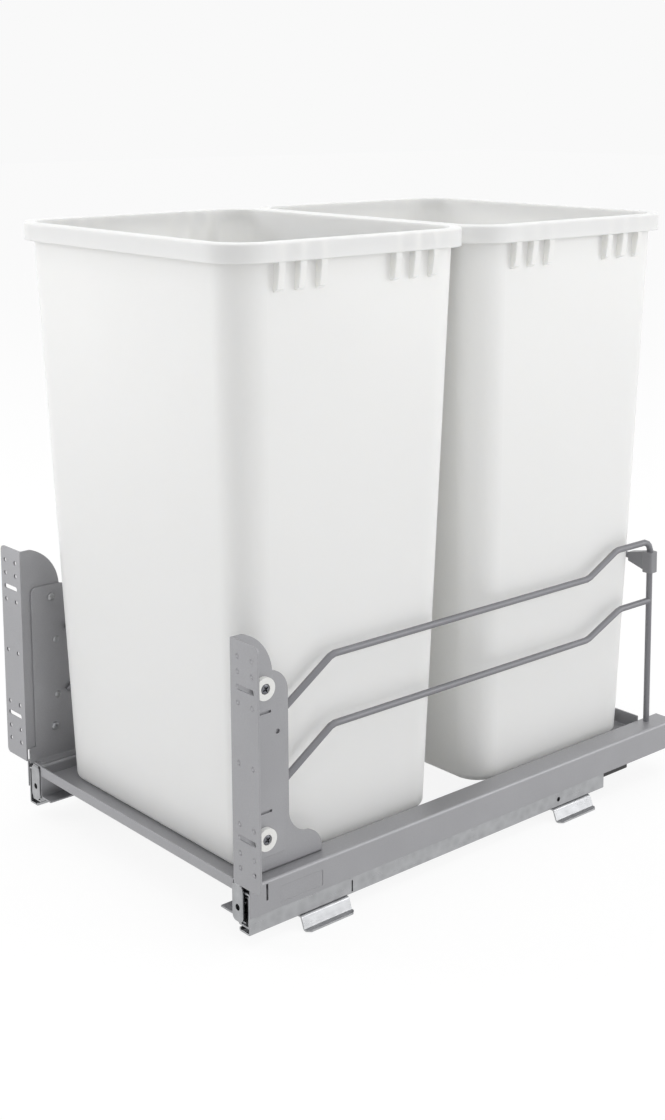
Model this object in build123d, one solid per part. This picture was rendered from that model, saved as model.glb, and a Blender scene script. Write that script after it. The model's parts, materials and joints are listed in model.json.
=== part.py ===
"""Pull-out double waste-bin unit for a base cabinet: two open bins standing on a
sheet-steel carriage that rides out on a pair of telescopic runners.

Millimetres. +Z up, the front faces -Y, X runs across the cabinet. Heights count from
the cabinet floor. Depths are worked out from the carriage front (0) and moved at the
end, so the origin is the bottom centre of the whole object's bounding box.
"""
import os

from build123d import *

os.makedirs("parts", exist_ok=True)

# ---- driving dimensions ----
BIN_WIDTH = 361.0          # over the rim, across the cabinet
BIN_DEPTH = 282.0          # over the rim, front to back
TOTAL_HEIGHT = 607.0       # floor to bin rim
SHEET = 1.5                # rails, cross members, runner members
BRACKET_SHEET = 1.7        # door and base brackets
RUNNER_LENGTH = 460.0      # closed length of the telescopic runners
RUNNER_HEIGHT = 38.0       # height of the fixed runner member
FOOT_HEIGHT = 12.0         # floor to the underside of the runners
RAIL_OVER_RUNNER = 8.0     # top of the side rails above the fixed runner members
SEAT_DROP = 11.0           # surface the bins stand on, below the top of the rails
DOOR_BRACKET_TOP = 279.0   # floor to the top of the door brackets
WIRE = 6.5                 # diameter of the side wires
CAM_DIAMETER = 20.5        # height-adjusting cams on the door brackets
ROLLER = 2.9               # rollers between the runner members

# ---- levels ----
RAIL_TOP = FOOT_HEIGHT + RUNNER_HEIGHT + RAIL_OVER_RUNNER
SEAT = RAIL_TOP - SEAT_DROP

# ---- bins ----
BIN_WALL = 2.2
RIM_CORNER = 40.0
RIM_SKIRT = 17.0
RIM_PLATE = 2.2
RIM_OVERHANG = 8.0
BODY_CORNER_TOP = 34.0
BODY_CORNER_BOTTOM = 28.0
TAPER_X = 21.0
TAPER_Y = 20.0
BIN_FRONT = -4.0
BIN_GAP = 1.0
RIB_HEIGHT = 26.0
RIB_THICK = 7.0
RIB_PITCH = 22.8
RIBS = 3

# ---- carriage and runners ----
FOLD = SHEET / 2 + 0.05    # tightest bend of the runner members' centre line
FRAME_HALF = BIN_WIDTH / 2 + 7.5
RAIL_LENGTH = 2 * BIN_DEPTH + BIN_GAP + BIN_FRONT + 11.0
RAIL_WIDTH = 26.5
RAIL_SKIRT_LOW = RAIL_TOP - 29.0
RAIL_FOOT_LOW = FOOT_HEIGHT + 12.0
RAIL_FOOT_REACH = 17.0
RAIL_INNER = FRAME_HALF - RAIL_WIDTH
FIXED_WEB = FRAME_HALF - SHEET - 0.5
FIXED_BOTTOM = FOOT_HEIGHT
FIXED_TOP = FOOT_HEIGHT + RUNNER_HEIGHT
TRACK = ROLLER + 0.1
MIDDLE_BOTTOM = FIXED_BOTTOM + SHEET + TRACK
MIDDLE_TOP = FIXED_TOP - SHEET - TRACK
MOVING_BOTTOM = MIDDLE_BOTTOM + SHEET + TRACK
MOVING_TOP = MIDDLE_TOP - SHEET - TRACK
MIDDLE_WEB = FIXED_WEB - 2 * SHEET
MOVING_WEB = RAIL_INNER + SHEET
CAGE_LENGTH = RUNNER_LENGTH * 0.33
CAGE_CENTRE = RUNNER_LENGTH * 0.5
ROLLERS = 2
LEDGE_REACH = 23.0
FOOT_SPAN = 55.0

# ---- brackets ----
PLATE_OUT = FRAME_HALF - 13.0
PLATE_IN = PLATE_OUT - BRACKET_SHEET
DOOR_PLATE_IN = PLATE_OUT + 0.1
DOOR_PLATE_OUT = DOOR_PLATE_IN + BRACKET_SHEET
DOOR_FACE = -8.0
DOOR_FLANGE = 38.0
DOOR_BRACKET_LOW = RAIL_TOP + 3.0
DOOR_SIDE_LOW = RAIL_TOP + 15.0
BASE_TOP = DOOR_BRACKET_TOP - 39.0
PLATE_REAR = 53.0
CAM_Y = 24.0
CAM_HIGH = DOOR_BRACKET_TOP - 52.0
CAM_LOW = RAIL_TOP + 33.0
CAM_THROW = 1.6
CAM_THICK = 4.6
BOSS = 12.0
WIRE_X = PLATE_IN - WIRE / 2
POST_Y = RAIL_LENGTH - 25.0
WIRE_HIGH = DOOR_BRACKET_TOP - 43.0
WIRE_STEP = 65.0
WIRE_EASE = 2.8
CLIP = 12.5
CLIP_HEIGHT = 22.0
CLIP_REACH = 26.0
CLIP_TOP = WIRE_HIGH + 10.5
BAR_Z = CLIP_TOP - 9.5
BAR_END = WIRE_X - 11.0

# holes in the door bracket's front flange, measured down from its top and out from its bend
FLANGE_ROWS = (13.8, 27.3, 54.4, 107.5, 162.0, 188.0, 201.5)
FLANGE_SLOTS = (40.8, 174.0)
FLANGE_COLUMNS = (10.3, 30.0)
FLANGE_SLOT_LENGTH = 25.0

Y_MID = (DOOR_FACE + RAIL_LENGTH) / 2
MADE = {}


def save(name, shape):
    """Write one node, moved so the object's bounding box is centred on the origin."""
    moved = Pos(0, -Y_MID, 0) * shape
    MADE[name] = moved
    export_step(moved, f"parts/{name}.step")


def save_pair(name, right):
    """Write a right-hand piece and its mirror image."""
    save(f"right_{name}", right)
    save(f"left_{name}", mirror(right, about=Plane.YZ))


# ---- building blocks ----
def bent(points, thick, y0, y1, radius=2.0):
    """Sheet bent along an X-Z centre line, running from y0 to y1."""
    line = FilletPolyline(*points, radius=radius) if len(points) > 2 else Polyline(*points)
    face = Plane.XZ * trace(line, thick)
    return Pos(0, y0, 0) * extrude(face, amount=-(y1 - y0))


def bent_across(points, thick, half):
    """Sheet bent along a Y-Z centre line, running across between -half and half."""
    line = FilletPolyline(*points, radius=2.0) if len(points) > 2 else Polyline(*points)
    face = Plane.YZ * trace(line, thick)
    return Pos(-half, 0, 0) * extrude(face, amount=2 * half)


def block(x0, x1, y0, y1, z0, z1):
    """Box between two corners."""
    return Pos((x0 + x1) / 2, (y0 + y1) / 2, (z0 + z1) / 2) * Box(x1 - x0, y1 - y0, z1 - z0)


def pin_x(x0, x1, y, z, radius):
    """Round bar along X."""
    return Pos((x0 + x1) / 2, y, z) * Rot(0, 90, 0) * Cylinder(radius, abs(x1 - x0))


def pin_y(x, y0, y1, z, radius):
    """Round bar along Y."""
    return Pos(x, (y0 + y1) / 2, z) * Rot(90, 0, 0) * Cylinder(radius, abs(y1 - y0))


def pin_z(x, y, z0, z1, radius):
    """Round bar along Z."""
    return Pos(x, y, (z0 + z1) / 2) * Cylinder(radius, abs(z1 - z0))


def eased(points, reach):
    """The same route with every corner cut across, reach away from the corner."""
    route = [Vector(*points[0])]
    for before, corner, after in zip(points, points[1:], points[2:]):
        here = Vector(*corner)
        route.append(here + (Vector(*before) - here).normalized() * reach)
        route.append(here + (Vector(*after) - here).normalized() * reach)
    return route + [Vector(*points[-1])]


def swept_wire(points, radius):
    """Round wire bent in the plane x = WIRE_X through (y, z) points."""
    path = Pos(WIRE_X, 0, 0) * (Plane.YZ * Polyline(*eased(points, WIRE_EASE)))
    start = Plane(path @ 0, z_dir=path % 0) * Circle(radius)
    return sweep(start, path=path, transition=Transition.RIGHT)


# ---- bins ----
def rounded_slab(half_x, half_y, corner, z):
    """Flat rectangle with rounded corners, centred over the origin at height z."""
    return Pos(0, 0, z) * RectangleRounded(2 * half_x, 2 * half_y, corner)


def bin_body(inset, floor, top):
    """Tapered tub with rounded corners, shrunk all round by inset."""
    hx = BIN_WIDTH / 2 - RIM_OVERHANG - inset
    hy = BIN_DEPTH / 2 - RIM_OVERHANG - inset
    low = rounded_slab(hx - TAPER_X, hy - TAPER_Y, BODY_CORNER_BOTTOM - inset, floor)
    high = rounded_slab(hx, hy, BODY_CORNER_TOP - inset, top)
    return loft([low, high], ruled=True)


def rim_ribs():
    """Short stiffening ribs under the rim, in groups at both ends of each long side."""
    top = TOTAL_HEIGHT - RIM_PLATE
    out = BIN_WIDTH / 2 - 1.0
    reach = RIM_OVERHANG + TAPER_X * 0.1 + 1.0
    first = BIN_DEPTH / 2 - RIM_CORNER - 13
    starts = [first - k * RIB_PITCH for k in range(RIBS)]
    profile = Polyline(
        (out, top), (out, top - RIM_SKIRT - 3), (out - 3, top - RIB_HEIGHT - 12),
        (out - reach, top - RIB_HEIGHT - 16), (out - reach, top), close=True,
    )
    rib = extrude(Plane.XZ * make_face(profile), amount=RIB_THICK / 2, both=True)
    ribs = []
    for y in starts + [-s for s in starts]:
        ribs.append(Pos(0, y, 0) * rib)
        ribs.append(Pos(0, y, 0) * mirror(rib, about=Plane.YZ))
    return ribs


def waste_bin(y_centre):
    """Open bin: tapered tub, turned-down rim skirt, ribs, and a foot ring underneath."""
    skirt_low = TOTAL_HEIGHT - RIM_SKIRT
    rim = extrude(rounded_slab(BIN_WIDTH / 2, BIN_DEPTH / 2, RIM_CORNER, skirt_low), RIM_SKIRT)
    rim = chamfer(rim.edges().group_by(Axis.Z)[-1], 1.2)
    pocket = rounded_slab(BIN_WIDTH / 2 - 2, BIN_DEPTH / 2 - 2, RIM_CORNER - 2, skirt_low)
    rim -= extrude(pocket, RIM_SKIRT - RIM_PLATE)
    tub = bin_body(0.0, SEAT, TOTAL_HEIGHT - RIM_PLATE / 2)
    tub = fillet(tub.edges().group_by(Axis.Z)[0], 6.0)
    body = tub + rim + rim_ribs()
    body -= bin_body(BIN_WALL, SEAT + 2.5, TOTAL_HEIGHT + 0.01)
    recess = rounded_slab(BIN_WIDTH / 2 - 55, BIN_DEPTH / 2 - 48, 22, SEAT)
    body -= extrude(recess, 1.0, taper=10)
    return Pos(0, y_centre, 0) * body


# ---- carriage ----
def side_rail():
    """Bent rail: outer skirt with a shallow panel and a slit, flat top, inner wall, inward foot."""
    h = SHEET / 2
    outline = [
        (FRAME_HALF - h, RAIL_SKIRT_LOW),
        (FRAME_HALF - h, RAIL_TOP - h),
        (RAIL_INNER + h, RAIL_TOP - h),
        (RAIL_INNER + h, RAIL_FOOT_LOW + h),
        (RAIL_INNER - RAIL_FOOT_REACH, RAIL_FOOT_LOW + h),
    ]
    rail = bent(outline, SHEET, 0, RAIL_LENGTH)
    panel = block(FRAME_HALF - 0.4, FRAME_HALF + 1, 32, 80, RAIL_SKIRT_LOW + 4, RAIL_TOP - 10)
    rail -= fillet(panel.edges().filter_by(Axis.X), 1.5)
    rail -= block(FRAME_HALF - 3, FRAME_HALF + 1, 17, 19.2, RAIL_TOP - 18, RAIL_TOP - 3)
    return rail


def front_cross_member():
    """Folded sheet across the front: upright lip and the ledge the front bin stands on."""
    h = SHEET / 2
    path = [(h, SEAT + 10), (h, SEAT - h), (50, SEAT - h), (50, SEAT - 12)]
    return bent_across(path, SHEET, RAIL_INNER)


def rear_cross_member():
    """Folded sheet across the back, with its ledge reaching under the rear bin."""
    h = SHEET / 2
    back = POST_Y - 4
    path = [(back, SEAT + 15), (back, SEAT - h), (back - 48, SEAT - h), (back - 48, SEAT - 12)]
    return bent_across(path, SHEET, RAIL_INNER)


def bin_ledge(y0, y1):
    """Short angle on the inside of a rail that carries the edge of a bin."""
    h = SHEET / 2
    path = [(RAIL_INNER - h, RAIL_FOOT_LOW + SHEET + 3), (RAIL_INNER - h, SEAT - h),
            (RAIL_INNER - LEDGE_REACH, SEAT - h)]
    return bent(path, SHEET, y0, y1)


# ---- runners ----
def fixed_member():
    """Outer runner member, screwed to the cabinet: deep channel with turned-in lips."""
    h = SHEET / 2
    lip = FIXED_WEB - 14.5
    path = [
        (lip, FIXED_BOTTOM + 3.2), (lip, FIXED_BOTTOM + h), (FIXED_WEB - h, FIXED_BOTTOM + h),
        (FIXED_WEB - h, FIXED_TOP - h), (lip, FIXED_TOP - h), (lip, FIXED_TOP - 3.2),
    ]
    member = bent(path, SHEET, 0.5, RUNNER_LENGTH, FOLD)
    tail = bent([(FIXED_WEB - h, RAIL_SKIRT_LOW + 3), (FIXED_WEB - h, FIXED_TOP - 2)],
                SHEET, RUNNER_LENGTH - 2, RUNNER_LENGTH + 40)
    member += tail
    slit = block(FIXED_WEB - 3, FIXED_WEB + 1, 0, 1.6, FIXED_BOTTOM + 2, FIXED_BOTTOM + 13)
    member -= Pos(0, RUNNER_LENGTH * 0.25, 0) * slit
    member -= pin_x(FIXED_WEB - 3, FIXED_WEB + 1, RUNNER_LENGTH * 0.85, FIXED_BOTTOM + 8, 2.4)
    return member


def middle_member():
    """Intermediate runner member between the two roller tracks."""
    h = SHEET / 2
    lip = MIDDLE_WEB - 14.5
    path = [
        (lip, MIDDLE_BOTTOM + 3.2), (lip, MIDDLE_BOTTOM + h),
        (MIDDLE_WEB - h, MIDDLE_BOTTOM + h), (MIDDLE_WEB - h, MIDDLE_TOP - h),
        (lip, MIDDLE_TOP - h), (lip, MIDDLE_TOP - 3.2),
    ]
    return bent(path, SHEET, 2, RUNNER_LENGTH - 3, FOLD)


def moving_member():
    """Inner runner member, fixed to the rail and running inside the middle one."""
    h = SHEET / 2
    reach = MIDDLE_WEB - SHEET - 2.5
    path = [
        (reach, MOVING_BOTTOM + h), (MOVING_WEB + h, MOVING_BOTTOM + h),
        (MOVING_WEB + h, MOVING_TOP - h), (reach, MOVING_TOP - h),
    ]
    return bent(path, SHEET, 1, RUNNER_LENGTH - 3, FOLD)


def roller_cage(x0, x1, z_low, z_high):
    """Upper and lower cage strips with their rollers, shared by one pair of tracks."""
    y0 = CAGE_CENTRE - CAGE_LENGTH / 2
    strips = []
    for z in (z_low, z_high):
        strip = block(x0, x1, y0, y0 + CAGE_LENGTH, z - 0.4, z + 0.4)
        for k in range(ROLLERS):
            y = y0 + CAGE_LENGTH * (k + 0.5) / ROLLERS
            strip += pin_x(x0 + 1, x1 - 1, y, z, ROLLER / 2)
        strips.append(strip)
    return Compound(children=strips)


def soft_close():
    """Moulded damper housing clipped to the tail of the fixed member."""
    y0 = RUNNER_LENGTH + 1
    z0 = RAIL_SKIRT_LOW - 7
    housing = block(FIXED_WEB - SHEET - 14, FIXED_WEB - SHEET, y0, y0 + 38, z0, FIXED_TOP - 3)
    housing = fillet(housing.edges().filter_by(Axis.Y), 2.0)
    housing += pin_y(FIXED_WEB - SHEET - 7, y0 + 38, y0 + 58, (z0 + FIXED_TOP - 3) / 2, 5.0)
    housing -= block(FIXED_WEB - SHEET - 9, FIXED_WEB - SHEET - 5, y0 - 1, y0 + 14,
                     z0 + 4, FIXED_TOP - 7)
    return housing


def floor_bracket(y_centre):
    """Zinc-plated bracket: pad under the runner, sloping web and a flat foot."""
    h = SHEET / 2
    path = [
        (FIXED_WEB - 15, FOOT_HEIGHT - h), (FRAME_HALF - 1, FOOT_HEIGHT - h),
        (FRAME_HALF + 3.5, h), (FRAME_HALF + 10, h),
    ]
    y0 = y_centre - FOOT_SPAN / 2
    foot = bent(path, SHEET, y0, y0 + FOOT_SPAN, 1.6)
    for y in (y0, y0 + FOOT_SPAN):
        foot -= Pos(FRAME_HALF + 10, y, 1) * Rot(0, 0, 45) * Box(5, 5, 6)
    return foot


def front_cap():
    """Rounded end plate that closes the front of a rail over the runner."""
    low, high = FOOT_HEIGHT + 9, RAIL_TOP - 3
    face = Pos(MOVING_WEB + 8, (low + high) / 2) * RectangleRounded(15, high - low, 5)
    cap = extrude(Plane.XZ * face, amount=1.4)
    cap -= pin_y(MOVING_WEB + 8, -3, 1, FOOT_HEIGHT + 22, 3.0)
    tab = bent([(MOVING_WEB + 1.0, RAIL_TOP - 4.5), (MOVING_WEB + 14, RAIL_TOP - 4.5)],
               SHEET, -1.4, 9)
    return cap + tab + block(MOVING_WEB + 3, MOVING_WEB + 13, -0.7, 8, RAIL_TOP - 4.5, RAIL_TOP - SHEET)


# ---- brackets ----
def base_bracket():
    """Upright side plate with a flared lower end and a foot welded to the rail top."""
    t = BRACKET_SHEET
    low = RAIL_TOP + 4
    top = BASE_TOP
    rear = PLATE_REAR
    toe = RAIL_TOP + 0.4
    edge = [
        Line((DOOR_FACE + 3, toe), (DOOR_FACE + 3, low + 8)),
        Line((DOOR_FACE + 3, low + 8), (2, low + 8)),
        Line((2, low + 8), (2, top - 6)),
        RadiusArc((2, top - 6), (8, top), 6),
        Line((8, top), (rear - 22, top)),
        RadiusArc((rear - 22, top), (rear, top - 22), 22),
        Line((rear, top - 22), (rear, low + 46)),
        RadiusArc((rear, low + 46), (rear + 22, low + 21), -24),
        RadiusArc((rear + 22, low + 21), (rear + 37, low), 22),
        Line((rear + 37, low), (3, low)),
        Line((3, low), (3, toe)),
        Line((3, toe), (DOOR_FACE + 3, toe)),
    ]
    plate = Pos(PLATE_IN, 0, 0) * extrude(Plane.YZ * make_face(Wire(edge)), amount=t)
    foot_path = [(RAIL_INNER + 2, RAIL_TOP + t / 2), (PLATE_OUT - t / 2, RAIL_TOP + t / 2),
                 (PLATE_OUT - t / 2, low + 0.5)]
    plate += bent(foot_path, t, 3, rear + 37, 1.6)
    for z in (CAM_HIGH, CAM_LOW):
        plate -= pin_x(PLATE_IN - 2, PLATE_OUT + 1, CAM_Y, z, 2.2)
    return plate


def door_bracket():
    """Angle bracket for the door: drilled front flange and rounded side flange."""
    t = BRACKET_SHEET
    x_out = DOOR_PLATE_IN + DOOR_FLANGE
    rear = 47.5
    neck = 35.0
    edge = [
        Line((DOOR_FACE, DOOR_SIDE_LOW), (DOOR_FACE, DOOR_BRACKET_TOP)),
        Line((DOOR_FACE, DOOR_BRACKET_TOP), (4, DOOR_BRACKET_TOP)),
        ThreePointArc((4, DOOR_BRACKET_TOP), (neck - 9.5, DOOR_BRACKET_TOP - 15),
                      (neck, DOOR_BRACKET_TOP - 41)),
        RadiusArc((neck, DOOR_BRACKET_TOP - 41), (rear, DOOR_BRACKET_TOP - 106), -250),
        Line((rear, DOOR_BRACKET_TOP - 106), (rear, DOOR_SIDE_LOW)),
        Line((rear, DOOR_SIDE_LOW), (DOOR_FACE, DOOR_SIDE_LOW)),
    ]
    side = Pos(DOOR_PLATE_IN, 0, 0) * extrude(Plane.YZ * make_face(Wire(edge)), amount=t)
    height = DOOR_BRACKET_TOP - DOOR_BRACKET_LOW
    flange = block(DOOR_PLATE_IN, x_out, DOOR_FACE, DOOR_FACE + t, DOOR_BRACKET_LOW, DOOR_BRACKET_TOP)
    outer = flange.edges().filter_by(Axis.Y).group_by(Axis.X)[-1]
    bracket = side + fillet(outer, 5.0)
    for drop in FLANGE_ROWS:
        for across in FLANGE_COLUMNS:
            bracket -= pin_y(DOOR_PLATE_IN + across, DOOR_FACE - 1, DOOR_FACE + 3,
                             DOOR_BRACKET_TOP - drop, 2.4)
    middle = DOOR_PLATE_IN + sum(FLANGE_COLUMNS) / 2
    slot = extrude(Plane.XZ * SlotOverall(FLANGE_SLOT_LENGTH, 5.0), amount=4.0, both=True)
    for drop in FLANGE_SLOTS:
        bracket -= Pos(middle, DOOR_FACE, DOOR_BRACKET_TOP - drop) * slot
    for z in (CAM_HIGH, CAM_LOW):
        guide = Box(4 * t, BOSS + 2.3, BOSS + 0.5)
        bracket -= Pos(DOOR_PLATE_IN, CAM_Y + CAM_THROW - 0.3, z) * guide
    for z in (CAM_HIGH - 23, CAM_LOW + 23):
        bracket -= block(DOOR_PLATE_IN - 1, DOOR_PLATE_OUT + 1, CAM_Y - 5, CAM_Y + 9, z - 1.2, z + 1.2)
    bracket -= pin_x(DOOR_PLATE_IN - 1, DOOR_PLATE_OUT + 1, 40, CAM_HIGH - 43, 2.2)
    return bracket


def cam(z):
    """Nylon cam: disc on the flange, off-centre boss in the slot, stepped screw hole."""
    disc = pin_x(DOOR_PLATE_OUT + 0.2, DOOR_PLATE_OUT + 0.2 + CAM_THICK, CAM_Y, z, CAM_DIAMETER / 2)
    boss = pin_x(PLATE_OUT + 0.3, DOOR_PLATE_OUT + 0.3, CAM_Y + CAM_THROW, z, BOSS / 2)
    body = disc + boss
    body -= pin_x(PLATE_OUT - 1, DOOR_PLATE_OUT + 9, CAM_Y, z, 2.08)
    body -= pin_x(DOOR_PLATE_OUT + 2.4, DOOR_PLATE_OUT + 9, CAM_Y, z, 4.7)
    return body


def cam_screw(z):
    """Screw through a cam with its nut on the inside of the base bracket."""
    head = pin_x(DOOR_PLATE_OUT + 2.6, DOOR_PLATE_OUT + 4.8, CAM_Y, z, 4.3)
    shank = pin_x(PLATE_IN - 2.0, DOOR_PLATE_OUT + 2.7, CAM_Y, z, 2.0)
    nut = extrude(RegularPolygon(4.2, 6), 3.0)
    nut = Pos(PLATE_IN - 3.0, CAM_Y, z) * Rot(0, 90, 0) * nut
    return head + shank + nut


# ---- side wires ----
def high_path():
    """Front end on the base bracket, up to the level run, up again, round and down."""
    return [
        (PLATE_REAR - 14, WIRE_HIGH - 45), (PLATE_REAR + 54, WIRE_HIGH),
        (POST_Y - 98, WIRE_HIGH), (POST_Y - 54, WIRE_HIGH + 22),
        (POST_Y - 6.5, WIRE_HIGH + 22), (POST_Y, WIRE_HIGH + 15.5), (POST_Y, RAIL_TOP),
    ]


def low_path():
    """The same cranks one step lower, ending on the post."""
    z = WIRE_HIGH - WIRE_STEP
    return [
        (PLATE_REAR - 14, z - 45), (PLATE_REAR + 54, z),
        (POST_Y - 98, z), (POST_Y - 48, z + 22), (POST_Y, z + 22),
    ]


def side_wires():
    """Two cranked guard wires; the upper one turns down into the rear post."""
    return swept_wire(high_path(), WIRE / 2) + swept_wire(low_path(), WIRE / 2)


def corner_clip():
    """Moulded corner: a sleeve on the rear post and a tapered arm that holds the bar."""
    half = CLIP / 2
    sleeve = block(WIRE_X - half, WIRE_X + half, POST_Y - half, POST_Y + half,
                   CLIP_TOP - CLIP_HEIGHT, CLIP_TOP)
    sleeve = fillet(sleeve.edges().filter_by(Axis.Z), 3.0)
    profile = Polyline(
        (WIRE_X - half + 1, CLIP_TOP - 0.5), (WIRE_X - CLIP_REACH, BAR_Z + WIRE / 2 + 1.4),
        (WIRE_X - CLIP_REACH, BAR_Z - WIRE / 2 - 1.4),
        (WIRE_X - half + 1, CLIP_TOP - CLIP_HEIGHT + 2), close=True,
    )
    clip = sleeve + Pos(0, POST_Y, 0) * extrude(Plane.XZ * make_face(profile), amount=4.7, both=True)
    clip -= pin_z(WIRE_X, POST_Y, RAIL_TOP, CLIP_TOP + 1, WIRE / 2 + 0.15)
    clip -= pin_x(WIRE_X - CLIP_REACH - 1, BAR_END + 0.5, POST_Y, BAR_Z, WIRE / 2 + 0.15)
    return clip


def rear_bar():
    """Round bar across the back between the two corner clips."""
    return pin_x(-BAR_END, BAR_END, POST_Y, BAR_Z, WIRE / 2)


# ---- everything ----
front_y = BIN_FRONT + BIN_DEPTH / 2
rear_y = front_y + BIN_DEPTH + BIN_GAP
save("front_bin", waste_bin(front_y))
save("rear_bin", waste_bin(rear_y))

save_pair("side_rail", side_rail())
save("front_cross_member", front_cross_member())
save("rear_cross_member", rear_cross_member())
save_pair("front_bin_ledge", bin_ledge(front_y - 15, front_y + 85))
save_pair("rear_bin_ledge", bin_ledge(rear_y - 85, rear_y + 15))
save_pair("front_cap", front_cap())

save_pair("fixed_member", fixed_member())
save_pair("middle_member", middle_member())
save_pair("moving_member", moving_member())
tracks_low = (FIXED_BOTTOM + MIDDLE_BOTTOM + SHEET) / 2
tracks_high = (FIXED_TOP + MIDDLE_TOP - SHEET) / 2
save_pair("outer_cage", roller_cage(FIXED_WEB - 12.5, FIXED_WEB - 4.5, tracks_low, tracks_high))
tracks_low = (MIDDLE_BOTTOM + MOVING_BOTTOM + SHEET) / 2
tracks_high = (MIDDLE_TOP + MOVING_TOP - SHEET) / 2
save_pair("inner_cage", roller_cage(MIDDLE_WEB - 12.0, MIDDLE_WEB - 5.0, tracks_low, tracks_high))
save_pair("soft_close", soft_close())
for place, y in (("front", RUNNER_LENGTH * 0.18), ("rear", RUNNER_LENGTH * 0.89)):
    save_pair(f"{place}_floor_bracket", floor_bracket(y))

save_pair("base_bracket", base_bracket())
save_pair("door_bracket", door_bracket())
for place, z in (("upper", CAM_HIGH), ("lower", CAM_LOW)):
    save_pair(f"{place}_cam", cam(z))
    save_pair(f"{place}_cam_screw", cam_screw(z))

save_pair("side_wires", side_wires())
save_pair("corner_clip", corner_clip())
save("rear_top_bar", rear_bar())

box = Compound(children=list(MADE.values())).bounding_box()
print("nodes", len(MADE), "size", box.size, "low", box.min)
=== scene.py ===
"""Looks for the pull-out waste-bin unit: white moulded bins on a silver-grey sheet-steel
carriage with plated runners, photographed on plain white from the front right."""
import json
import math

import bmesh
import bpy
from mathutils import Matrix, Vector


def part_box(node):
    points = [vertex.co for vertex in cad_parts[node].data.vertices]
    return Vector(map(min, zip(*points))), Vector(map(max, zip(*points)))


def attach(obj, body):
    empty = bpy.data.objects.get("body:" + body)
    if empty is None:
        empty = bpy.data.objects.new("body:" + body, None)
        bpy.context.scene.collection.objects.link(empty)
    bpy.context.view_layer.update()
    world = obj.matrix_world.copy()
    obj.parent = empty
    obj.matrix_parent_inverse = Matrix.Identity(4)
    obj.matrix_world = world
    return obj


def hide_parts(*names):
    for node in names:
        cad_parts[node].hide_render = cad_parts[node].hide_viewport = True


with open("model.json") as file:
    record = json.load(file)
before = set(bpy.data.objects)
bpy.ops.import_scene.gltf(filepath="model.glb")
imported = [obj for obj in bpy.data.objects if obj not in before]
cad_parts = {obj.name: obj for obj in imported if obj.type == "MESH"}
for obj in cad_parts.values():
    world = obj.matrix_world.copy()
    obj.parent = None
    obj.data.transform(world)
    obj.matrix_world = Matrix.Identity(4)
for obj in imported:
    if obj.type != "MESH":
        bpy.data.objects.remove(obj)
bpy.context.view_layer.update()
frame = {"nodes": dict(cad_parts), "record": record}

MM = 0.001

# ---- the photograph's view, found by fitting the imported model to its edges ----
PHOTO_WIDTH, PHOTO_HEIGHT = 665, 1120
FOCAL_PX = 1651.7
AXIS_PX = (404.6, 350.0)            # where the lens axis meets the picture
CAMERA_AT = (1256.1 * MM, -1074.7 * MM, 726.1 * MM)
YAW, PITCH = 0.8332, 0.1528         # radians

# ---- colours, as seen ----
BIN_WHITE = "#F5F5F3"
COAT_GREY = "#A0A0A3"
PLATE_GREY = "#A9AAAC"
NYLON_WHITE = "#F0F0ED"
CLIP_GREY = "#88888B"
# darker than COAT_GREY although the wires carry the same powder coat: the difference is painted shade, for
# the round wires looking darker than the flat sheet
WIRE_COAT_AND_PAINTED_SHADE_GREY = "#7E7E82"
DAMPER_BLACK = "#1B1B1C"
# drawn darker than the bright plated head: painted shade, standing in for the dark driver recess across the
# whole head
SCREW_STEEL_WITH_PAINTED_SHADE = "#74757A"
CAGE_GREY = "#8B8C8E"
PAPER_WHITE = "#F9F9F9"

# ---- light ----
ROOM_LIGHT = 0.56                   # surroundings, as they light the object
PAPER_GLOW = 0.86                   # share of the paper's white that shadows can't take away
GLOW_STRENGTH = 1.085               # brings the far paper to the same white as the surroundings
PAPER_SIZE = 30.0                   # metres, wide enough for its edge to lie near the horizon
PAPER_CLEARANCE = 0.4               # mm, between the paper and the feet
SOFTBOXES_FACE = (0, 0, 0.1)        # the point that every softbox is turned to, in metres
SOFTBOXES = (                       # name, place and size in metres, watts
    ("key_front_left", (-2.8, -2.6, 1.75), (2.0, 1.3), 33),
    ("fill_right_back", (3.1, 2.6, 1.75), (2.0, 1.3), 34),
    ("low_front_left", (-1.7, -1.6, 0.12), (1.6, 0.24), 4.5),
    ("low_right_back", (1.9, 1.6, 0.12), (1.6, 0.24), 4.5),
    ("top", (0.0, 0.0, 2.2), (3.0, 3.0), 25),
)

# ---- fasteners and small forms, in mm ----
BRACKET_SHEET = 1.7
SCREW_HEAD = [                      # (distance, radius) from the top of the head inwards
    (0, 2.0), (0, 3.1), (-0.15, 3.7), (-0.5, 4.15), (-1.0, 4.3), (-2.2, 4.3), (-2.2, 2.0),
]
SHANK_RADIUS = 2.0
SHANK_SHORT = 2.9                   # the shank ends inside the nut, this far from its top
CROSS_SPAN, CROSS_DEPTH = 6.6, 1.9
CROSS_ARM = 0.28                    # width of an arm, as a share of its span
CROSS_TAPER = 0.72                  # what the recess narrows to at its bottom
CROSS_TURN = 0.5                    # radians from upright
DOMED_NUT = [                       # (distance, radius) from the top of the dome
    (0, 0.8), (0.1, 2.2), (0.45, 3.2), (1.0, 3.8), (2.2, 4.0), (2.3, 4.25), (3.0, 4.25),
]
RIVET_HEAD = [                      # (height in mm, radius as a share of the rivet's)
    (-0.2, 1.0), (0.3, 1.0), (0.7, 0.86), (0.95, 0.5), (1.0, 0.1),
]
RIVET_SIDES = 24
BRACKET_RIVET = 3.4                 # radius
BRACKET_RIVET_BACK = 34.0           # from the base bracket's front edge
BRACKET_RIVET_RISES = (0.36, 0.68)  # shares of the bracket's height
RUNNER_RIVET = 3.2                  # radius
RUNNER_RIVET_UP = 8.0               # from the underside of the runner
RUNNER_RIVET_SUNK = 1.0             # how far its rim lies inside the runner's face
RUNNER_RIVET_ALONG = 0.44           # share of the runner's length
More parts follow.
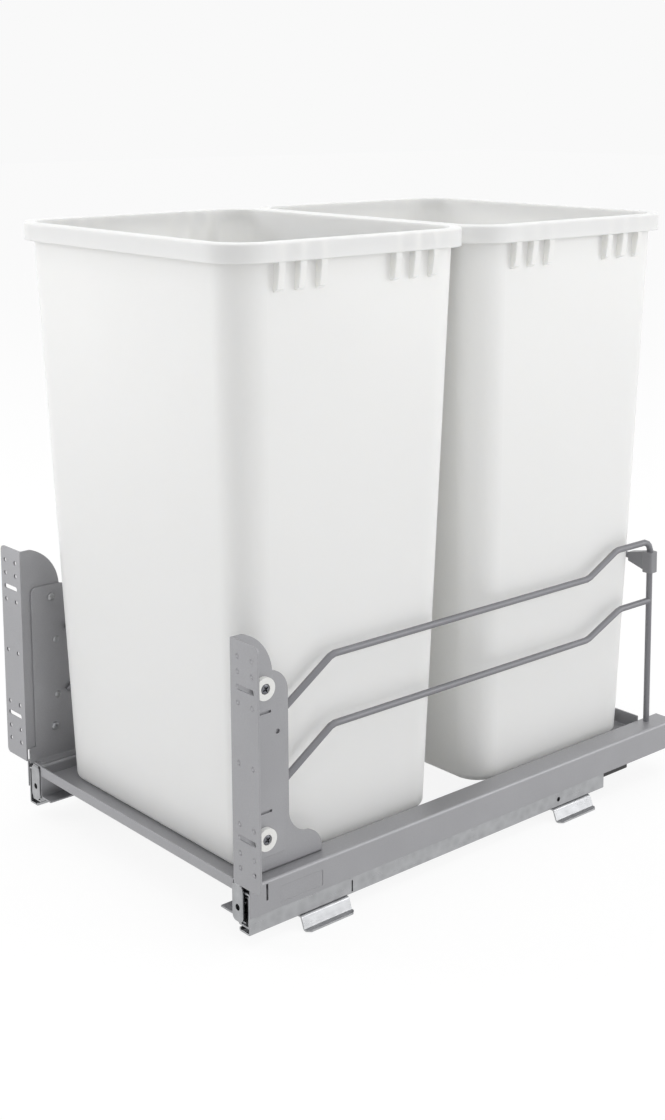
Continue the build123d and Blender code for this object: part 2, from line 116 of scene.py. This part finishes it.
TOE_OUTLINE = [                     # (back, up) from the base bracket's front lower corner
    (0, 11.6), (0, 14.6), (1.6, 16.2), (7.0, 16.2), (7.0, 11.6),
]
SIDES = (("right", 1), ("left", -1))


def linear(colour, factor=1.0):
    """sRGB hex to the linear RGBA of Blender's sockets, made lighter or darker by factor."""
    parts = [int(colour[k:k + 2], 16) / 255 for k in (1, 3, 5)]
    light = [c / 12.92 if c <= 0.04045 else ((c + 0.055) / 1.055) ** 2.4 for c in parts]
    return [min(c * factor, 1.0) for c in light] + [1.0]


# ---- node building ----
def add(tree, kind, sockets, **settings):
    """Adds a node. Each socket, by name or number, takes a value or another node's output."""
    node = tree.nodes.new(kind)
    for name, value in settings.items():
        setattr(node, name, value)
    for name, value in sockets.items():
        if isinstance(value, bpy.types.NodeSocket):
            tree.links.new(value, node.inputs[name])
        else:
            node.inputs[name].default_value = value
    return node


def new_material(name):
    """An empty node material and its tree."""
    material = bpy.data.materials.new(name)
    material.use_nodes = True
    material.node_tree.nodes.clear()
    return material, material.node_tree


def finish_material(tree, sockets):
    """Ends a material in one Principled surface with these sockets."""
    surface = add(tree, "ShaderNodeBsdfPrincipled", sockets)
    add(tree, "ShaderNodeOutputMaterial", {"Surface": surface.outputs["BSDF"]})


def seen_directly(tree):
    """1 for a ray from the lens or off a glossy or clear surface, 0 for one that only lights."""
    ray = add(tree, "ShaderNodeLightPath", {})
    first = add(tree, "ShaderNodeMath", {
        0: ray.outputs["Is Camera Ray"], 1: ray.outputs["Is Glossy Ray"],
    }, operation="MAXIMUM")
    either = add(tree, "ShaderNodeMath", {
        0: first.outputs[0], 1: ray.outputs["Is Transmission Ray"],
    }, operation="MAXIMUM")
    return either.outputs[0]


# ---- materials ----
def powder_coated_steel(name, colour_hex):
    """Folded sheet or drawn wire, sprayed with polyester powder and baked.

    The baked coat flows into a fine orange peel, which breaks up its satin highlights,
    and rounds every cut edge.
    """
    material, tree = new_material(name)
    place = add(tree, "ShaderNodeTexCoord", {}).outputs["Object"]
    peel = add(tree, "ShaderNodeTexNoise", {"Vector": place, "Scale": 1 / (1.6 * MM), "Detail": 2.0})
    cloud = add(tree, "ShaderNodeTexNoise", {"Vector": place, "Scale": 1 / (55 * MM), "Detail": 2.0})
    # the powder's own grain is near 0.1 mm, too fine to show, so the fleck is drawn coarser
    fleck = add(tree, "ShaderNodeTexNoise", {"Vector": place, "Scale": 1 / (0.8 * MM), "Detail": 1.0})
    mottled = add(tree, "ShaderNodeMix", {
        0: cloud.outputs["Fac"], 6: linear(colour_hex, 0.93), 7: linear(colour_hex, 1.07),
    }, data_type="RGBA")
    flecked = add(tree, "ShaderNodeMapRange", {
        "Value": fleck.outputs["Fac"], "From Min": 0.35, "From Max": 0.65, "To Min": 0.96, "To Max": 1.03,
    })
    colour = add(tree, "ShaderNodeVectorMath", {
        0: mottled.outputs[2], 1: flecked.outputs["Result"],
    }, operation="MULTIPLY")
    gloss = add(tree, "ShaderNodeMapRange", {
        "Value": peel.outputs["Fac"], "From Min": 0.3, "From Max": 0.7, "To Min": 0.34, "To Max": 0.46,
    })
    edge = add(tree, "ShaderNodeBevel", {"Radius": 0.5 * MM}, samples=4)
    relief = add(tree, "ShaderNodeBump", {
        "Height": peel.outputs["Fac"], "Distance": 0.03 * MM, "Normal": edge.outputs["Normal"],
    })
    finish_material(tree, {
        "Base Color": colour.outputs["Vector"], "Metallic": 0.35,
        "Roughness": gloss.outputs["Result"], "Normal": relief.outputs["Normal"],
    })
    return material


def moulded_bin_plastic():
    """Polypropylene, injection-moulded in a satin tool.

    A faint vertical flow of the melt changes its gloss, light goes a little way into it,
    and the rim's edges are rounded by the tool.
    """
    material, tree = new_material("moulded_bin_plastic")
    place = add(tree, "ShaderNodeTexCoord", {}).outputs["Object"]
    along = add(tree, "ShaderNodeMapping", {"Vector": place, "Scale": (1.0, 1.0, 0.3)})
    flow = add(tree, "ShaderNodeTexNoise", {
        "Vector": along.outputs["Vector"], "Scale": 1 / (150 * MM), "Detail": 2.0,
    })
    # the tool's satin grain is near 0.1 mm, too fine to show, so it is drawn coarser
    skin = add(tree, "ShaderNodeTexNoise", {"Vector": place, "Scale": 1 / (1.0 * MM), "Detail": 2.0})
    colour = add(tree, "ShaderNodeMix", {
        0: flow.outputs["Fac"], 6: linear(BIN_WHITE, 0.975), 7: linear(BIN_WHITE, 1.015),
    }, data_type="RGBA")
    gloss = add(tree, "ShaderNodeMapRange", {
        "Value": flow.outputs["Fac"], "From Min": 0.3, "From Max": 0.7, "To Min": 0.40, "To Max": 0.50,
    })
    edge = add(tree, "ShaderNodeBevel", {"Radius": 1.4 * MM}, samples=4)
    relief = add(tree, "ShaderNodeBump", {
        "Height": skin.outputs["Fac"], "Distance": 0.012 * MM, "Normal": edge.outputs["Normal"],
    })
    finish_material(tree, {
        "Base Color": colour.outputs[2], "Roughness": gloss.outputs["Result"], "IOR": 1.49,
        "Subsurface Weight": 0.9, "Subsurface Scale": 1.0 * MM,
        "Subsurface Radius": (5.0, 4.9, 4.7), "Normal": relief.outputs["Normal"],
    })
    return material


def zinc_plated_steel():
    """Roll-formed steel strip, zinc-plated.

    Rolling leaves fine lines along the runner, and the plate clouds them with a soft
    spangle, so its reflections are streaked and its grey is uneven.
    """
    material, tree = new_material("zinc_plated_steel")
    place = add(tree, "ShaderNodeTexCoord", {}).outputs["Object"]
    along = add(tree, "ShaderNodeMapping", {"Vector": place, "Scale": (1.0, 0.03, 1.0)})
    # rolling lines are a few tenths of a millimetre apart: drawn coarser, so that they show
    lines = add(tree, "ShaderNodeTexNoise", {
        "Vector": along.outputs["Vector"], "Scale": 1 / (1.2 * MM), "Detail": 3.0,
    })
    spangle = add(tree, "ShaderNodeTexVoronoi", {"Vector": place, "Scale": 1 / (9 * MM), "Randomness": 1.0})
    colour = add(tree, "ShaderNodeMix", {
        0: spangle.outputs["Distance"], 6: linear(PLATE_GREY, 0.86), 7: linear(PLATE_GREY, 1.08),
    }, data_type="RGBA")
    gloss = add(tree, "ShaderNodeMapRange", {
        "Value": lines.outputs["Fac"], "From Min": 0.3, "From Max": 0.7, "To Min": 0.26, "To Max": 0.42,
    })
    edge = add(tree, "ShaderNodeBevel", {"Radius": 0.4 * MM}, samples=4)
    relief = add(tree, "ShaderNodeBump", {
        "Height": lines.outputs["Fac"], "Distance": 0.012 * MM, "Normal": edge.outputs["Normal"],
    })
    finish_material(tree, {
        "Base Color": colour.outputs[2], "Metallic": 0.9,
        "Roughness": gloss.outputs["Result"], "Normal": relief.outputs["Normal"],
    })
    return material


def white_nylon():
    """Polyamide, injection-moulded and left its own white: slightly glossy, a little milky."""
    material, tree = new_material("white_nylon")
    place = add(tree, "ShaderNodeTexCoord", {}).outputs["Object"]
    # a moulded skin's grain is near 0.1 mm, too fine to show, so it is drawn coarser
    skin = add(tree, "ShaderNodeTexNoise", {"Vector": place, "Scale": 1 / (0.9 * MM), "Detail": 2.0})
    colour = add(tree, "ShaderNodeMix", {
        0: skin.outputs["Fac"], 6: linear(NYLON_WHITE, 0.96), 7: linear(NYLON_WHITE, 1.02),
    }, data_type="RGBA")
    gloss = add(tree, "ShaderNodeMapRange", {
        "Value": skin.outputs["Fac"], "From Min": 0.3, "From Max": 0.7, "To Min": 0.28, "To Max": 0.36,
    })
    edge = add(tree, "ShaderNodeBevel", {"Radius": 0.6 * MM}, samples=4)
    relief = add(tree, "ShaderNodeBump", {
        "Height": skin.outputs["Fac"], "Distance": 0.01 * MM, "Normal": edge.outputs["Normal"],
    })
    finish_material(tree, {
        "Base Color": colour.outputs[2], "Roughness": gloss.outputs["Result"], "IOR": 1.53,
        "Subsurface Weight": 0.12, "Subsurface Scale": 1.0 * MM,
        "Subsurface Radius": (1.5, 1.5, 1.4), "Normal": relief.outputs["Normal"],
    })
    return material


def moulded_plastic(name, colour_hex, roughness):
    """Glass-filled plastic from a spark-eroded tool: an even, finely pitted matt skin."""
    material, tree = new_material(name)
    place = add(tree, "ShaderNodeTexCoord", {}).outputs["Object"]
    # spark erosion leaves pits near 0.1 mm, too fine to show, so they are drawn coarser
    pits = add(tree, "ShaderNodeTexNoise", {"Vector": place, "Scale": 1 / (0.6 * MM), "Detail": 3.0})
    colour = add(tree, "ShaderNodeMix", {
        0: pits.outputs["Fac"], 6: linear(colour_hex, 0.88), 7: linear(colour_hex, 1.1),
    }, data_type="RGBA")
    gloss = add(tree, "ShaderNodeMapRange", {
        "Value": pits.outputs["Fac"], "From Min": 0.3, "From Max": 0.7,
        "To Min": roughness - 0.05, "To Max": roughness + 0.08,
    })
    edge = add(tree, "ShaderNodeBevel", {"Radius": 0.6 * MM}, samples=4)
    relief = add(tree, "ShaderNodeBump", {
        "Height": pits.outputs["Fac"], "Distance": 0.02 * MM, "Normal": edge.outputs["Normal"],
    })
    finish_material(tree, {
        "Base Color": colour.outputs[2], "Roughness": gloss.outputs["Result"],
        "Normal": relief.outputs["Normal"],
    })
    return material


def steel_screw():
    """Cold-headed steel, zinc-passivated: faint scuffs where the driver and dies touched it."""
    material, tree = new_material("steel_screw")
    place = add(tree, "ShaderNodeTexCoord", {}).outputs["Object"]
    scuffs = add(tree, "ShaderNodeTexNoise", {"Vector": place, "Scale": 1 / (0.8 * MM), "Detail": 3.0})
    # the head's grey is kept dark as painted shade for its driver recess; the scuffs vary it at random
    colour = add(tree, "ShaderNodeMix", {
        0: scuffs.outputs["Fac"], 6: linear(SCREW_STEEL_WITH_PAINTED_SHADE, 0.75), 7: linear(SCREW_STEEL_WITH_PAINTED_SHADE, 1.2),
    }, data_type="RGBA")
    gloss = add(tree, "ShaderNodeMapRange", {
        "Value": scuffs.outputs["Fac"], "From Min": 0.3, "From Max": 0.7, "To Min": 0.25, "To Max": 0.42,
    })
    edge = add(tree, "ShaderNodeBevel", {"Radius": 0.25 * MM}, samples=4)
    finish_material(tree, {
        "Base Color": colour.outputs[2], "Metallic": 1.0,
        "Roughness": gloss.outputs["Result"], "Normal": edge.outputs["Normal"],
    })
    return material


def studio_paper():
    """Seamless background paper: shows its own white to lens and gloss, and keeps shadows."""
    material, tree = new_material("studio_paper")
    place = add(tree, "ShaderNodeTexCoord", {}).outputs["Object"]
    fibre = add(tree, "ShaderNodeTexNoise", {"Vector": place, "Scale": 1 / (2 * MM), "Detail": 2.0})
    colour = add(tree, "ShaderNodeMix", {
        0: fibre.outputs["Fac"], 6: linear(PAPER_WHITE, 0.98), 7: linear(PAPER_WHITE),
    }, data_type="RGBA")
    matt = add(tree, "ShaderNodeBsdfDiffuse", {"Color": colour.outputs[2]})
    glow = add(tree, "ShaderNodeEmission", {"Color": linear(PAPER_WHITE), "Strength": GLOW_STRENGTH})
    shown = add(tree, "ShaderNodeMixShader", {0: PAPER_GLOW, 1: matt.outputs[0], 2: glow.outputs[0]})
    seen = seen_directly(tree)
    both = add(tree, "ShaderNodeMixShader", {0: seen, 1: matt.outputs[0], 2: shown.outputs[0]})
    add(tree, "ShaderNodeOutputMaterial", {"Surface": both.outputs[0]})
    return material


MATERIALS = {
    "powder_coated_steel": powder_coated_steel("powder_coated_steel", COAT_GREY),
    "moulded_bin_plastic": moulded_bin_plastic(),
    "zinc_plated_steel": zinc_plated_steel(),
    "white_nylon": white_nylon(),
    "black_damper_plastic": moulded_plastic("black_damper_plastic", DAMPER_BLACK, 0.45),
    "grey_clip_plastic": moulded_plastic("grey_clip_plastic", CLIP_GREY, 0.42),
    "steel_screw": steel_screw(),
    "cage_plastic": moulded_plastic("cage_plastic", CAGE_GREY, 0.5),
}


# ---- pieces ----
def smooth(mesh, angle=32.0):
    """Smooth shading that breaks at the real edges."""
    mesh.polygons.foreach_set("use_smooth", [True] * len(mesh.polygons))
    mesh.set_sharp_from_angle(angle=math.radians(angle))


def dress(node, material):
    """Gives a CAD node its material."""
    node.data.materials.clear()
    node.data.materials.append(material)
    smooth(node.data)


def new_piece(name, shape):
    """Turns a finished bmesh into an object in the scene."""
    mesh = bpy.data.meshes.new(name)
    shape.to_mesh(mesh)
    shape.free()
    piece = bpy.data.objects.new(name, mesh)
    bpy.context.scene.collection.objects.link(piece)
    return piece


def turned(name, profile, way, at, sides=32):
    """Solid turned about X from (distance, radius) points in mm, facing way, placed at a point."""
    shape = bmesh.new()
    rings = []
    for distance, radius in profile:
        angles = [2 * math.pi * k / sides for k in range(sides)]
        rings.append([shape.verts.new(Vector((way * distance, radius * math.cos(a),
                                              radius * math.sin(a))) * MM + at) for a in angles])
    for near, far in zip(rings, rings[1:]):
        for k in range(sides):
            j = (k + 1) % sides
            shape.faces.new((near[k], near[j], far[j], far[k]))
    shape.faces.new(rings[0])
    shape.faces.new(rings[-1])
    bmesh.ops.recalc_face_normals(shape, faces=shape.faces)
    return new_piece(name, shape)


def place_piece(piece, body, slot_name, replaced=()):
    """Finishes a new piece and lets it ride on its body."""
    dress(piece, MATERIALS[slot_name])
    if replaced:
        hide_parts(*replaced)
    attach(piece, body)


def cut(piece, cutter):
    """Takes the cutter's shape out of a piece for good."""
    boolean = piece.modifiers.new("cut", "BOOLEAN")
    boolean.operation = "DIFFERENCE"
    boolean.solver = "EXACT"
    boolean.use_self = True
    boolean.object = cutter
    cut_mesh = bpy.data.meshes.new_from_object(
        piece.evaluated_get(bpy.context.evaluated_depsgraph_get()))
    piece.modifiers.clear()
    piece.data = cut_mesh
    bpy.data.objects.remove(cutter)


def driver_cross(at, way):
    """Cross-shaped cutter for a screw's driver recess, narrowing as it goes in."""
    shape = bmesh.new()
    for turn in (0, math.pi / 2):
        arm = bmesh.ops.create_cube(shape, size=1.0)["verts"]
        for corner in arm:
            inward = CROSS_TAPER if corner.co.x * way < 0 else 1.0
            corner.co = Vector((corner.co.x * 2 * CROSS_DEPTH, corner.co.y * CROSS_SPAN * inward,
                                corner.co.z * CROSS_SPAN * CROSS_ARM * inward)) * MM
        leaning = Matrix.Rotation(turn + CROSS_TURN, 3, "X")
        bmesh.ops.rotate(shape, verts=arm, cent=(0, 0, 0), matrix=leaning)
        bmesh.ops.translate(shape, verts=arm, vec=at)
    return new_piece("driver_cross", shape)


def side_x(low, high, way):
    """Where a box ends on the side that way points to, 1 for right and -1 for left."""
    return high.x if way > 0 else low.x


def cam_screw(side, way, place):
    """Pan-head screw through a cam, and the domed nut that it ends in."""
    node = f"{side}_{place}_cam_screw"
    low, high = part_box(node)
    middle = (low + high) / 2
    top = Vector((side_x(low, high, way), middle.y, middle.z))
    back = Vector((side_x(low, high, -way), middle.y, middle.z))
    length = (high.x - low.x) / MM
    shank_end = (-length + SHANK_SHORT, SHANK_RADIUS)
    head = turned(node + "_head", SCREW_HEAD + [shank_end], way, top)
    cut(head, driver_cross(top, way))
    nut = turned(node + "_nut", DOMED_NUT, way, back)
    place_piece(head, "carriage", "steel_screw", [node])
    place_piece(nut, "carriage", "zinc_plated_steel")


def rivet(name, at, way, radius, body):
    """Flat-domed rivet head on a wall square to X."""
    profile = [(height, radius * share) for height, share in RIVET_HEAD]
    place_piece(turned(name, profile, way, at, RIVET_SIDES), body, "zinc_plated_steel")


def bracket_toe(side, way):
    """Carries a base bracket's front corner up past the lower end of the door bracket."""
    low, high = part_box(f"{side}_base_bracket")
    outer = side_x(low, high, way)
    shape = bmesh.new()
    near, far = [[shape.verts.new((x, low.y + y * MM, low.z + z * MM)) for y, z in TOE_OUTLINE]
                 for x in (outer, outer - way * BRACKET_SHEET * MM)]
    for k in range(len(TOE_OUTLINE)):
        shape.faces.new((near[k - 1], near[k], far[k], far[k - 1]))
    shape.faces.new(near)
    shape.faces.new(far)
    bmesh.ops.recalc_face_normals(shape, faces=shape.faces)
    place_piece(new_piece(f"{side}_bracket_toe", shape), "carriage", "powder_coated_steel")


def rivets(side, way):
    """Rivets on the inner face of a base bracket and on a fixed runner member."""
    low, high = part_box(f"{side}_base_bracket")
    inner = side_x(low, high, way) - way * BRACKET_SHEET * MM
    for k, rise in enumerate(BRACKET_RIVET_RISES):
        spot = Vector((inner, low.y + BRACKET_RIVET_BACK * MM, low.z + (high.z - low.z) * rise))
        rivet(f"{side}_base_bracket_rivet_{k + 1}", spot, -way, BRACKET_RIVET, "carriage")
    low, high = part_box(f"{side}_fixed_member")
    spot = Vector((side_x(low, high, way) - way * RUNNER_RIVET_SUNK * MM,
                   low.y + (high.y - low.y) * RUNNER_RIVET_ALONG, low.z + RUNNER_RIVET_UP * MM))
    rivet(f"{side}_runner_rivet", spot, way, RUNNER_RIVET, "cabinet_runners")


# ---- stage, light and camera ----
def floor():
    """A wide sheet of white paper, just clear of the feet that stand on it."""
    bpy.ops.mesh.primitive_plane_add(size=PAPER_SIZE, location=(0, 0, -PAPER_CLEARANCE * MM))
    sheet = bpy.context.object
    sheet.name = "paper_floor"
    sheet.data.materials.append(studio_paper())


def room():
    """Surroundings that light the object plainly and show as the paper's white."""
    world = bpy.data.worlds.new("studio_white")
    bpy.context.scene.world = world
    world.use_nodes = True
    tree = world.node_tree
    tree.nodes.clear()
    lit = add(tree, "ShaderNodeBackground", {"Color": linear(PAPER_WHITE), "Strength": ROOM_LIGHT})
    shown = add(tree, "ShaderNodeBackground", {"Color": linear(PAPER_WHITE), "Strength": 1.0})
    both = add(tree, "ShaderNodeMixShader", {
        0: seen_directly(tree), 1: lit.outputs[0], 2: shown.outputs[0],
    })
    add(tree, "ShaderNodeOutputWorld", {"Surface": both.outputs[0]})


def softbox(name, at, size, watts):
    """Rectangular area light, turned to the lower middle of the object."""
    lamp = bpy.data.lights.new(name, "AREA")
    lamp.shape = "RECTANGLE"
    lamp.size, lamp.size_y = size
    lamp.energy = watts
    holder = bpy.data.objects.new(name, lamp)
    bpy.context.scene.collection.objects.link(holder)
    holder.visible_camera = False
    holder.location = at
    holder.rotation_mode = "QUATERNION"
    holder.rotation_quaternion = (Vector(SOFTBOXES_FACE) - Vector(at)).to_track_quat("-Z", "Y")


def photo_camera():
    """The photograph's own view: measured focal length, lens shift, place and direction."""
    data = bpy.data.cameras.new("camera")
    data.sensor_width = 36.0
    data.lens = FOCAL_PX / PHOTO_HEIGHT * data.sensor_width
    data.shift_x = (PHOTO_WIDTH / 2 - AXIS_PX[0]) / PHOTO_HEIGHT
    data.shift_y = (AXIS_PX[1] - PHOTO_HEIGHT / 2) / PHOTO_HEIGHT
    data.clip_start, data.clip_end = 0.05, 60.0
    camera = bpy.data.objects.new("camera", data)
    bpy.context.scene.collection.objects.link(camera)
    bpy.context.scene.camera = camera
    forward = Vector((-math.sin(YAW) * math.cos(PITCH), math.cos(YAW) * math.cos(PITCH),
                      -math.sin(PITCH)))
    camera.location = CAMERA_AT
    camera.rotation_mode = "QUATERNION"
    camera.rotation_quaternion = forward.to_track_quat("-Z", "Y")


# ---- scene ----
# the wires get a darker copy of the frame's powder coat; the darkening is painted shade, not a coat of
# their own
coat_with_painted_wire_shade = powder_coated_steel("powder_coat_with_painted_wire_shade", WIRE_COAT_AND_PAINTED_SHADE_GREY)
for part in frame["record"]["subparts"]:
    drawn_wire = part["node"].endswith(("side_wires", "top_bar"))
    material = coat_with_painted_wire_shade if drawn_wire else MATERIALS[part["material_slot"]]
    dress(frame["nodes"][part["node"]], material)

for side, way in SIDES:
    for place in ("upper", "lower"):
        cam_screw(side, way, place)
for side, way in SIDES:
    rivets(side, way)
for side, way in SIDES:
    bracket_toe(side, way)

floor()
room()
for name, at, size, watts in SOFTBOXES:
    softbox(name, at, size, watts)
photo_camera()
bpy.context.scene.view_settings.view_transform = "Standard"
